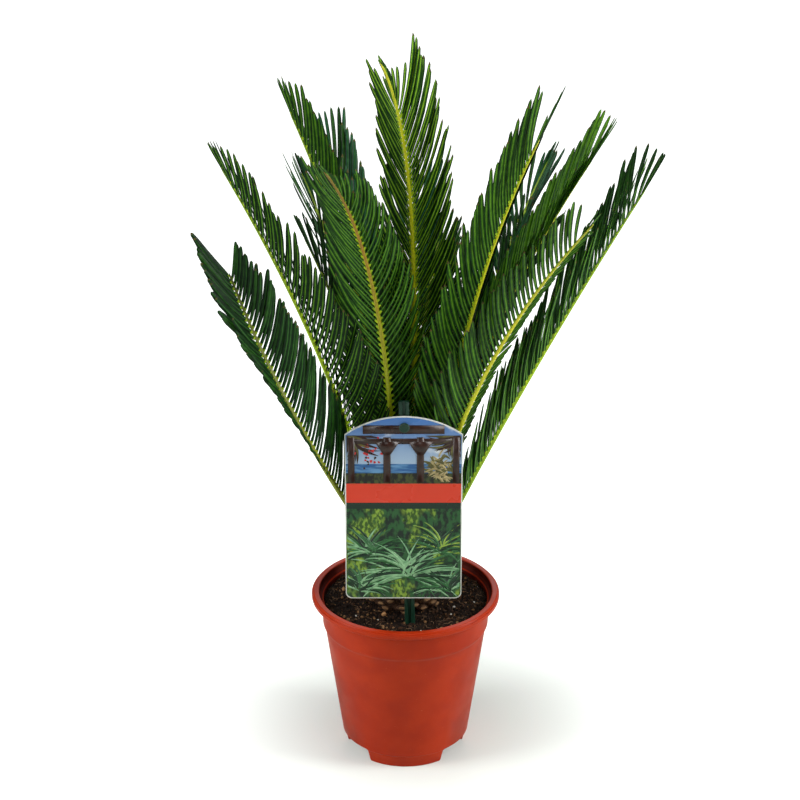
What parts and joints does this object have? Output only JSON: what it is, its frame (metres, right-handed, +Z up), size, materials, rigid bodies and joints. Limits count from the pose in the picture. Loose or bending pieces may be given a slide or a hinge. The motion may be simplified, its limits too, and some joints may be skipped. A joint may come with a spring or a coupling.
{
  "type": "sago palm",
  "caption": "Young sago palm in a round nursery pot: short bulbous trunk, crown of stiff feather-shaped fronds, plain plant label on a stick",
  "frame": {"origin": "bottom centre of the bounding box of the whole plant with its pot, on the surface it stands on", "axes": "+Z up, the label faces -Y"},
  "size_m": [0.3378, 0.3332, 0.599],
  "materials": {
    "pot": "satin",
    "soil": "matte",
    "trunk": "matte",
    "frond": "satin",
    "label": "gloss",
    "stick": "satin"
  },
  "bodies": {
    "root": {"pot": "pot", "soil": "soil", "trunk": "trunk", "label_card": "label", "label_stick": "stick", "frond_left_low": "frond", "frond_left_outer": "frond", "frond_left_tall": "frond", "frond_left_inner": "frond", "frond_back_left": "frond", "frond_back_left_tall": "frond", "frond_back_inner": "frond", "frond_back_tall": "frond", "frond_back_right": "frond", "frond_back_right_tall": "frond", "frond_right_back": "frond", "frond_right_inner": "frond", "frond_right_outer": "frond", "frond_right_tall": "frond", "frond_front_right": "frond", "frond_front_tall": "frond", "frond_front_left": "frond"}
  },
  "joints": []
}
